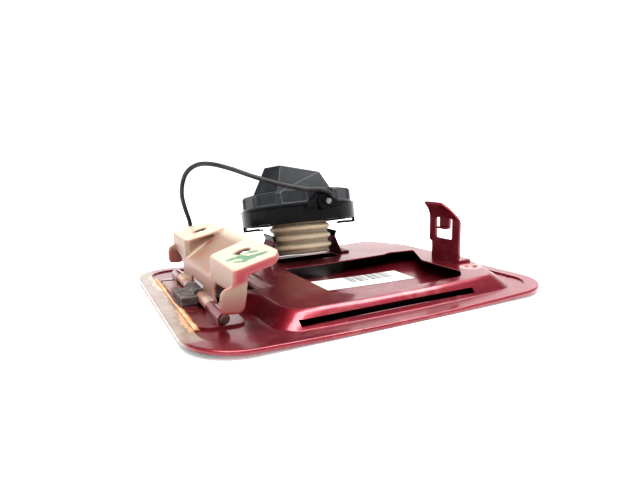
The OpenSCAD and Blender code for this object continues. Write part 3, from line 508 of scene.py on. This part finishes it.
def paper():
    """Coated paper sticker: flat bright white with plain grey bars and dashes, and no text."""
    material, tree, shader = surface("Coated paper", Roughness=0.5)
    axes = add(tree, "SeparateXYZ", {0: add(tree, "UVMap", uv_map="label")}).outputs
    # Uneven stripes, 62 over the sticker's 64 mm, so that they show; the dashes are cut from them
    stripe = add(tree, "TexNoise", {"W": axes["X"], "Scale": 62.0, "Detail": 1.0},
                 noise_dimensions="1D")
    ink = 0.0
    for level, left, right, low, high in (BARS, *DASHES):
        area = add(tree, "Math", {0: stripe, 1: level}, operation="LESS_THAN")
        for axis, test, edge in (("X", "GREATER_THAN", left), ("X", "LESS_THAN", right),
                                 ("Y", "GREATER_THAN", low), ("Y", "LESS_THAN", high)):
            inside = add(tree, "Math", {0: axes[axis], 1: edge}, operation=test)
            area = add(tree, "Math", {0: area, 1: inside}, operation="MULTIPLY")
        ink = add(tree, "Math", {0: ink, 1: area}, operation="MAXIMUM")
    soft = add(tree, "Math", {0: ink, 1: 0.85}, operation="MULTIPLY")
    shade = add(tree, "Mix", {"Factor": soft, "A": linear("#d4d4d0"), "B": linear("#45474a")},
                data_type="RGBA")
    tree.links.new(shade.outputs[2], shader.inputs["Base Color"])
    return material


# Pieces

class DOOR_OT_sheets(bpy.types.Operator):
    """Outer skin, inner panel and channel, in their wavy lacquer."""
    bl_idname = "fuel_door.sheets"
    bl_label = "Door sheets"

    def execute(self, context):
        look = context.scene.door_look
        dress("outer_skin", lacquer("Hem lacquer over primer", look, hem=True), flat=0.15)
        bm = welded("inner_panel", 0.15)
        edge = bm.faces.layers.float.new("edge")
        for face in bm.faces:
            heights = [v.co.z for v in face.verts]
            # The upright cut faces are no higher than the sheet is thick
            if abs(face.normal.z) < 0.4 and max(heights) - min(heights) < 1.2 * MM:
                face[edge] = 1.0
        stand_in(piece_from("inner_panel_look", bm), "inner_panel",
                 lacquer("Panel lacquer", look, seat=at(73, -46, 9)))
        dress("hinge_channel", lacquer("Channel lacquer", look, pads=-100), bevel=0.3)
        return {"FINISHED"}


class DOOR_OT_sealer(bpy.types.Operator):
    """Bead of seam sealer along the hem, laid by hand with a wavy edge."""
    bl_idname = "fuel_door.sealer"
    bl_label = "Seam sealer"

    def execute(self, context):
        look = context.scene.door_look
        bm = welded("hem_sealer")
        bmesh.ops.subdivide_edges(bm, edges=bm.edges, cuts=3, use_grid_fill=True)
        for vert in bm.verts:
            p = vert.co / MM
            # Waves of 5 mm with smaller ones of 1.8 mm on them
            ripple = (noise.noise(Vector((0.0, p.y / 5, 0.3)))
                      + 0.5 * noise.noise(Vector((0.0, p.y / 1.8, 2))))
            # The inner edge draws back by 1.5 mm round y = 4 mm, where the bead is thin
            thick = ramp(13, 22, abs(p.y - MIDDLE.y / MM - 4))
            wide = ripple * look.sealer_ripple - 1.5 * (1 - thick) + 0.5 * thick
            vert.co.x += wide * ramp(-94.0, -90.0, p.x) * MM
            vert.co.z += 0.3 * ripple * ramp(3.2, 3.9, p.z) * MM
        bmesh.ops.smooth_vert(bm, verts=bm.verts, **SMOOTHING)
        # Cured acrylic sealer, brushed on: matt and rubbery, orange where it is thick
        finish = dusty("Cured sealer", look.sealer, "#dcc4a6", 0.6, 5, 0.9, grain=0.4)
        stand_in(piece_from("hem_sealer_look", bm, 180), "hem_sealer", finish)
        return {"FINISHED"}


class DOOR_OT_hinge(bpy.types.Operator):
    """Leaf, pin, buffer and spring of the hinge."""
    bl_idname = "fuel_door.hinge"
    bl_label = "Hinge"

    def execute(self, context):
        look = context.scene.door_look
        dress("hinge_leaf", lacquer("Leaf lacquer", look, pads=at(0, -17, 0).y / MM), bevel=0.25)
        # Zinc plated steel under paint mist, and darkened as painted shade inside the eyes: dull
        # warm grey
        zinc = dusty("Zinc plated steel", linear("#4c3a38"), "#8a6a64", 0.5, 3, 0.5, Metallic=0.5)
        dress("hinge_pin", zinc, bevel=0.2)
        # Moulded rubber with dried dust: flat grey, lighter on its upper edges from dust and as a
        # painted highlight
        rubber = dusty("Moulded rubber", linear("#4b4543"), "#a0958f", 0.7, 4, 0.5, grain=0.3)
        dress("hinge_buffer", rubber, bevel=0.35)
        # Spring steel, blued and oily: nearly black with a dull sheen
        steel = dusty("Blued spring steel", linear("#2d2a2b"), "#5c4f4b", 0.4, 5, 0.5, Metallic=0.7)
        dress("hinge_spring", steel, bevel=0.15)
        return {"FINISHED"}


# Faded strokes on the near ear: the width of each in mm, and its points as distances along the
# ear from its rear edge and along the pin
STROKES = [
    (3.0, [(-13.6, -44.6), (-11.5, -45.4), (-9.5, -47.0), (-7.6, -49.3)]),
    (4.2, [(-19.5, -47.3), (-17.3, -47.6), (-15.4, -47.9), (-13.9, -53.2), (-11, -54.6),
           (-9, -55.7), (-6.6, -56.2)]),
    (3.8, [(-15.3, -56.4), (-13.7, -56.1), (-11.9, -56.3)]),
    (2.2, [(-19.4, -53.5), (-17.8, -55.3), (-16.1, -58)]),
]
EAR_TILT = math.radians(14.5)
EAR_TOP = (-56.0, 37.4)
EAR_HOLE = (-11.36, 40.5)        # Along each ear, and along the pin to both sides
EYE_REACH = 4.2                  # The rolled eyes end this far from the pin's axis
BRACKET_SHARES = ("painted_lighting", "spray", "marker", "edge")


def ear_place(p):
    """A point in millimetres as its distance along the ears' slope and above their faces."""
    dx, dz = p.x - EAR_TOP[0], p.z - EAR_TOP[1]
    return (dx * math.cos(EAR_TILT) + dz * math.sin(EAR_TILT),
            dz * math.cos(EAR_TILT) - dx * math.sin(EAR_TILT))


def stroke_share(u, y):
    """How much of the marker paint lies at a place of the near ear."""
    share = 0.0
    for width, line in STROKES:
        for start, end in zip(line, line[1:]):
            a, b, q = Vector(start), Vector(end), Vector((u, y))
            t = min(1.0, max(0.0, (q - a).dot(b - a) / (b - a).length_squared))
            off = (q - a.lerp(b, t)).length
            share = max(share, ramp(width * 0.5 + 0.3, width * 0.5 - 0.3, off))
    return share


def spray_share(p, above):
    """How much lacquer drifted to a place of the bracket, in door millimetres."""
    near_lip = 1.1 * (ramp(-40, -56, p.y) * ramp(-0.2, -2.4, above) * ramp(-7.5, -5.5, above)
                      * ramp(-77, -73, p.x))
    near_end = 0.9 * ramp(-63.2, -64.8, p.y) * ramp(0.4, -1.2, above) * ramp(-8.5, -5, above)
    near_leg = 0.7 * ramp(-60, -64, p.y) * ramp(24, 13, p.z)
    far_leg = 0.5 * ramp(52, 56, p.y) * ramp(27, 17, p.z)
    far_patch = 0.8 * ramp(7, 2, (p - Vector((-64, 21, 27))).length)
    far_edge = 0.6 * ramp(1.6, 0.5, abs(p.y - 21.5)) * ramp(-1.2, -0.2, above)
    front = 0.25 * ramp(30, 14, p.z)
    return max(near_lip, near_end, near_leg, far_leg, far_patch, far_edge, front)


def darkening_share(p, u, above):
    """How much the bracket is darkened at a place: painted shade round the screw holes, and the
    legs darker towards their lower ends.
    """
    off = math.hypot(u - EAR_HOLE[0], abs(p.y) - EAR_HOLE[1])
    legs = ramp(28, 17, p.z) * (0.7 * ramp(-59, -63, p.y) + 0.1 * ramp(50, 54, p.y))
    return legs + 1.5 * ramp(5.5, 3.6, off) * (abs(above) < 3)


class DOOR_OT_bracket(bpy.types.Operator):
    """Pressed hinge bracket, with its soft bends, drifted lacquer, faded strokes, and painted light
    and shade.
    """
    bl_idname = "fuel_door.bracket"
    bl_label = "Hinge bracket"

    def execute(self, context):
        look = context.scene.bracket_look
        bm = welded("hinge_bracket")
        mesh = bpy.data.meshes.new("bracket_draft")
        bm.to_mesh(mesh)
        bm.free()
        draft = bpy.data.objects.new("bracket_draft", mesh)
        grain = draft.modifiers.new("Even grain", "REMESH")
        grain.mode, grain.voxel_size = "VOXEL", look.voxel * MM
        bm = solved(draft)
        # One step evens the grain, and the rest round the bends but leave the rolled eyes
        axis = sum(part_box("hinge_pin"), Vector()) / 2
        soft = [v for v in bm.verts if (v.co - axis).xz.length > EYE_REACH * MM]
        bmesh.ops.smooth_vert(bm, verts=bm.verts, **SMOOTHING)
        for _ in range(look.bends):
            bmesh.ops.smooth_vert(bm, verts=soft, **SMOOTHING)
        bm.normal_update()
        painted_lighting, spray, marker, edge = (bm.verts.layers.float.new(name) for name in BRACKET_SHARES)
        bend, around = {}, {}
        for vert in bm.verts:
            around[vert] = [e.other_vert(vert) for e in vert.link_edges]
            middle = sum((other.co for other in around[vert]), Vector()) / len(around[vert])
            bend[vert] = (vert.co - middle).dot(vert.normal) / (look.voxel * MM)
        for vert in bm.verts:
            p = (vert.co - at(0, 0, 0)) / MM
            u, above = ear_place(p)
            near = [bend[other] for other in around[vert]] + [bend[vert]]
            # Convex bends give a painted highlight; hollow bends give painted shade, and the
            # darkening share is taken off
            ridge = 9 * sum(near) / len(near) - darkening_share(p, u, above)
            vert[edge] = max(-1.0, min(1.0, ridge))
            # The channel between the ears is as dim as a steeper face
            sunk = ramp(24, 20, abs(p.y)) * ramp(-0.5, -3, above)
            vert[painted_lighting] = vert.normal.z - 0.6 * sunk
            vert[spray] = spray_share(p, above)
            vert[marker] = stroke_share(u, p.y) if abs(above) < 0.8 and p.y < -38 else 0.0
        stand_in(piece_from("hinge_bracket_look", bm, 180), "hinge_bracket", primer(look))
        return {"FINISHED"}


class DOOR_OT_hook(bpy.types.Operator):
    """Latch hook and the holder's spring arms."""
    bl_idname = "fuel_door.hook"
    bl_label = "Hook and arms"

    def execute(self, context):
        look = context.scene.door_look
        dress("latch_hook", lacquer("Hook lacquer", look), bevel=0.3)
        for node in ("holder_arm_left", "holder_arm_right"):
            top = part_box(node)[1].z / MM
            dress(node, lacquer("Arm lacquer", look, tip=top - 3.2), bevel=0.3)
        return {"FINISHED"}


CAP_TILT = math.radians(10)      # The cap's axis leans away from the near side
CAP_HEIGHT = 32.6                # Its middle over the door's outer face, in mm


class DOOR_OT_cap(bpy.types.Operator):
    """Cover, ring, threaded neck and the parts inside the cap."""
    bl_idname = "fuel_door.cap"
    bl_label = "Fuel cap"

    def execute(self, context):
        look = context.scene.cap_look
        # Glass filled nylon, moulded and faded by daylight: charcoal, grey bloom, and pale edges,
        # partly worn and partly a painted highlight
        nylon = dusty("Faded nylon", look.cover, "#5c5e62", 0.3, 11, 0.28, edge=0.8,
                      Specular_IOR_Level=0.5)
        bm = welded("cap_cover", 0.3)
        # Slivers between the pockets and the rim would stop the rounding of every edge
        bmesh.ops.remove_doubles(bm, verts=bm.verts, dist=0.25 * MM)
        bmesh.ops.dissolve_degenerate(bm, dist=0.05 * MM, edges=bm.edges)
        soften(bm, 0.35, 20, clamp=False)
        stand_in(piece_from("cap_cover_look", bm), "cap_cover", nylon)
        # The same nylon kept dark and smooth under the cover's edge
        shaded = dusty("Smooth nylon", look.ring, "#3c3d41", 0.15, 15, 0.2, edge=0.9,
                       Specular_IOR_Level=0.25)
        dress("tether_ring", shaded, bevel=0.3)
        centre = at(*CAP_PLACE, CAP_HEIGHT)
        dress("cap_body", threaded(look, centre), bevel=0.5, segments=3, sharp=60)
        # Parts inside: dull black rubber, ivory acetal, and bright brass and steel
        rubber = dusty("Nitrile rubber", linear("#141414"), "#2c2b2a", 0.6, 5, 0.4)
        acetal = dusty("Natural acetal", linear("#d8d2c2"), "#b9ab90", 0.4, 6, 0.5)
        brass = dusty("Pressed brass", linear("#c9a35a"), "#8c7440", 0.3, 4, 0.5, Metallic=1.0)
        steel = dusty("Spring wire", linear("#b9b6b0"), "#8d857b", 0.25, 4, 0.4, Metallic=1.0)
        spring = piece_from("valve_spring_look", welded("valve_spring"), 60)
        spring.data.materials.append(steel)
        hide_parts("valve_spring")
        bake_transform(spring)
        for node, material in (("cap_gasket", rubber), ("valve_seal", rubber),
                               ("ratchet_ring", acetal), ("valve_retainer", acetal),
                               ("valve_disc", brass)):
            slots = frame["nodes"][node].material_slots
            if not slots:
                frame["nodes"][node].data.materials.append(material)
            for slot in slots:
                slot.material = material
        return {"FINISHED"}


# The tether's route in the CAD source, from the clip on the bracket to the ring's eyelet, in mm
TETHER_ROUTE = [
    (-66, 69, 27.5), (-66, 68.8, 31), (-67, 67.5, 38), (-70, 64, 46.5), (-72, 61, 56),
    (-71.5, 56, 65), (-69, 51, 71), (-64, 45, 74.5), (-57.5, 38, 74.5), (-48.5, 29, 71.5),
    (-38.5, 20, 67), (-27.5, 13, 63), (-17, 8, 60), (-9, 5.5, 58.5), (-1.5, 4.5, 58),
    (5, 5.5, 56), (8.6, 7, 52.4),
]
TETHER_STEPS = 6         # Points from one of these to the next
# Where the stub holds the cord in the bush, in door millimetres
STUB_PLACE = (5.2, 5.9, 50.7)


class DOOR_OT_tether(bpy.types.Operator):
    """Springy cord from the bracket to the cap's ring, with its bush, its stub and its button."""
    bl_idname = "fuel_door.tether"
    bl_label = "Tether"

    def execute(self, context):
        look = context.scene.cap_look
        line = spline([at(*p) for p in TETHER_ROUTE], TETHER_STEPS)
        # Smooth tube: a curve with a round section, made a mesh
        curve = bpy.data.curves.new("tether_line", "CURVE")
        curve.dimensions = "3D"
        curve.bevel_depth = look.tether_d / 2 * MM
        curve.bevel_resolution = 6
        curve.use_fill_caps = True
        path = curve.splines.new("POLY")
        path.points.add(len(line) - 1)
        for point, place in zip(path.points, line):
            point.co = (*place, 1.0)
        bm = solved(bpy.data.objects.new("tether_line", curve))
        bmesh.ops.remove_doubles(bm, verts=bm.verts, dist=1e-6)
        tether = piece_from("tether_look", bm, 50)
        # Extruded polyamide cord: black, satin, with faint rubbed patches
        tether.data.materials.append(dusty("Extruded polyamide", look.tether, "#5d5757", 0.35, 6,
                                           0.4, Specular_IOR_Level=0.5))
        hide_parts("tether")
        # Moulded nylon bush in the eyelet: dark, with dust and a painted highlight round its rim
        nylon = dusty("Nylon bush", linear("#0d0e10"), "#303236", 0.45, 3, 0.4,
                      Specular_IOR_Level=0.2)
        ferrule = dress("tether_ferrule", nylon, bevel=0.4)
        # Turned aluminium stub that holds the cord in it: light grey, satin
        bm = bmesh.new()
        bmesh.ops.create_cone(bm, cap_ends=True, segments=32, radius1=2.2 * MM, radius2=1.9 * MM,
                              depth=1.6 * MM, matrix=Matrix.Rotation(math.radians(90), 4, "X"))
        soften(bm, 0.3, 50)
        bmesh.ops.translate(bm, verts=bm.verts, vec=at(*STUB_PLACE))
        stub = piece_from("tether_stub", bm)
        stub.data.materials.append(dusty("Turned aluminium", linear("#8f9092"), "#55565a", 0.35, 2,
                                         0.7, Metallic=0.7))
        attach(stub, "door")
        # Moulded button that snaps into the bracket's far lip: black with dust
        button = dusty("Moulded button", linear("#1c1c1e"), "#47464a", 0.4, 4, 0.4)
        clip = dress("tether_clip", button, bevel=0.4)
        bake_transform(tether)
        return {"FINISHED"}


# The sticker's corners, its height over the crowned skin and its thickness, in door millimetres
LABEL_CORNERS = ((-13.6, -16.0), (50.4, -22.0), (51.5, 1.3), (-12.5, 7.0))
LABEL_HEIGHT = 0.86
LABEL_THICK = 0.12


class DOOR_OT_label(bpy.types.Operator):
    """Plain paper sticker on the skin inside the window."""
    bl_idname = "fuel_door.label"
    bl_label = "Sticker"

    def execute(self, context):
        look = context.scene.door_look
        corners = [Vector(p) for p in LABEL_CORNERS]
        bm = bmesh.new()
        bmesh.ops.create_grid(bm, x_segments=24, y_segments=6, size=0.5)
        uv = bm.loops.layers.uv.new("label")
        for face in bm.faces:
            for loop in face.loops:
                loop[uv].uv = (loop.vert.co.x + 0.5, loop.vert.co.y + 0.5)
        for vert in bm.verts:
            u, v = vert.co.x + 0.5, vert.co.y + 0.5
            low, high = corners[0].lerp(corners[1], u), corners[3].lerp(corners[2], u)
            spot = low.lerp(high, v)
            rise = look.crown * (spot.x / HALF_LENGTH) ** 2
            vert.co = at(spot.x, spot.y, LABEL_HEIGHT + rise)
        sheet = bmesh.ops.extrude_face_region(bm, geom=bm.faces[:])
        top = [v for v in sheet["geom"] if isinstance(v, bmesh.types.BMVert)]
        bmesh.ops.translate(bm, verts=top, vec=(0, 0, LABEL_THICK * MM))
        bmesh.ops.recalc_face_normals(bm, faces=bm.faces)
        label = piece_from("sticker", bm)
        label.data.materials.append(paper())
        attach(label, "door")
        return {"FINISHED"}


# The camera that the photograph's outline gives: yaw, pitch and roll, and its place in door mm
CAMERA_TURNS = (27.51, 9.69, -1.26)
CAMERA_PLACE = (-136.7, -253.8, 76.8)
# Each sun's direction, its width in degrees and its share of the key light
SUNS = {"key": ((-0.5, -0.75, 1.4), 50, 1.0), "rim": ((0.8, 0.6, 0.9), 35, 0.35)}
# The softbox's length and width, its place and its tilt along the door, and half of the floor's
# width, all in metres but the tilt
BOX_SIZE = (1.1, 0.3)
BOX_PLACE = (0.1, -0.12, 0.8)
BOX_TILT = math.radians(6)
FLOOR_REACH = 60.0


def stage_floor(look):
    """Opal glass of a light table, lit from below: an even white with a faint warm cloud."""
    bm = bmesh.new()
    bmesh.ops.create_grid(bm, x_segments=2, y_segments=2, size=FLOOR_REACH)
    floor = piece_from("floor", bm)
    material, tree, shader = surface("Opal light table", Roughness=0.9, Specular_IOR_Level=0.1,
                                     Emission_Strength=look.glow)
    place = add(tree, "TexCoord").outputs["Object"]
    cloud = add(tree, "TexNoise", {"Vector": place, "Scale": cells(40), "Detail": 2.0})
    shade = add(tree, "Mix", {"Factor": cloud, "A": look.floor, "B": linear("#faf9f7")},
                data_type="RGBA")
    for name in ("Base Color", "Emission Color"):
        tree.links.new(shade.outputs[2], shader.inputs[name])
    floor.data.materials.append(material)


def stage_world(look):
    """White surround, dimmer towards the ceiling."""
    world = bpy.data.worlds.new("White surround")
    world.use_nodes = True
    room = world.node_tree
    sky = add(room, "SeparateXYZ", {0: add(room, "TexCoord").outputs["Generated"]}).outputs["Z"]
    # White up to 19 degrees, which the camera sees, and dimmest from 37 degrees on
    fade = add(room, "MapRange", {"Value": sky, "From Min": 0.33, "From Max": 0.6,
                                  "To Min": look.low, "To Max": look.high},
               interpolation_type="SMOOTHSTEP")
    room.links.new(fade.outputs[0], room.nodes["Background"].inputs["Strength"])
    room.nodes["Background"].inputs["Color"].default_value = (1, 1, 1, 1)
    return world


class DOOR_OT_stage(bpy.types.Operator):
    """Light table, white surround, overhead softbox, two soft suns and the camera."""
    bl_idname = "fuel_door.stage"
    bl_label = "Stage"

    def execute(self, context):
        scene = context.scene
        look = scene.stage_look
        scene.view_settings.view_transform = "Standard"
        scene.view_settings.look = "High Contrast"
        stage_floor(look)
        scene.world = stage_world(look)
        for name, (spot, angle, share) in SUNS.items():
            light = bpy.data.lights.new(name, "SUN")
            light.angle, light.energy = math.radians(angle), look.key * share
            lamp = bpy.data.objects.new(name, light)
            lamp.rotation_euler = (-Vector(spot)).to_track_quat("-Z", "Y").to_euler()
            scene.collection.objects.link(lamp)
        box = bpy.data.lights.new("softbox", "AREA")
        box.shape, box.energy = "RECTANGLE", look.box
        box.size, box.size_y = BOX_SIZE
        lamp = bpy.data.objects.new("softbox", box)
        lamp.location = BOX_PLACE
        lamp.rotation_euler = (0, BOX_TILT, 0)
        scene.collection.objects.link(lamp)
        yaw, pitch, roll = (math.radians(turn) for turn in CAMERA_TURNS)
        ahead = Vector((math.sin(yaw) * math.cos(pitch), math.cos(yaw) * math.cos(pitch),
                        -math.sin(pitch)))
        right = Vector((math.cos(yaw), -math.sin(yaw), 0))
        up = right.cross(ahead)
        across = math.cos(roll) * right + math.sin(roll) * up
        upward = -math.sin(roll) * right + math.cos(roll) * up
        camera = bpy.data.objects.new("camera", bpy.data.cameras.new("camera"))
        camera.data.lens = look.lens
        camera.data.sensor_width = 36
        camera.data.clip_start = 0.01
        pose = Matrix((across, upward, -ahead)).transposed().to_4x4()
        pose.translation = at(*CAMERA_PLACE)
        camera.matrix_world = pose
        scene.collection.objects.link(camera)
        scene.camera = camera
        return {"FINISHED"}


class DOOR_PT_panel(bpy.types.Panel):
    """Sizes, colours and steps of the fuel door."""
    bl_label = "Fuel door"
    bl_idname = "DOOR_PT_panel"
    bl_space_type = "VIEW_3D"
    bl_region_type = "UI"
    bl_category = "Fuel door"

    def draw(self, context):
        for name, group in LOOKS:
            box = self.layout.box()
            box.label(text=group.__doc__)
            for key in group.__annotations__:
                box.prop(getattr(context.scene, name), key)
        for step in STEPS:
            self.layout.operator(step.bl_idname)


LOOKS = [("door_look", DoorLook), ("bracket_look", BracketLook), ("cap_look", CapLook),
         ("stage_look", StageLook)]
STEPS = [DOOR_OT_stage, DOOR_OT_tether, DOOR_OT_sheets, DOOR_OT_sealer, DOOR_OT_hinge,
         DOOR_OT_bracket, DOOR_OT_hook, DOOR_OT_cap, DOOR_OT_label]


def register():
    for name, group in LOOKS:
        bpy.utils.register_class(group)
        setattr(bpy.types.Scene, name, PointerProperty(type=group))
    for step in STEPS + [DOOR_PT_panel]:
        bpy.utils.register_class(step)


def unregister():
    for step in [DOOR_PT_panel] + STEPS[::-1]:
        bpy.utils.unregister_class(step)
    for name, group in LOOKS[::-1]:
        delattr(bpy.types.Scene, name)
        bpy.utils.unregister_class(group)


def main():
    """Registers the add-on and runs its steps in order."""
    register()
    for step in STEPS:
        group, name = step.bl_idname.split(".")
        getattr(getattr(bpy.ops, group), name)()


if __name__ == "__main__":
    main()
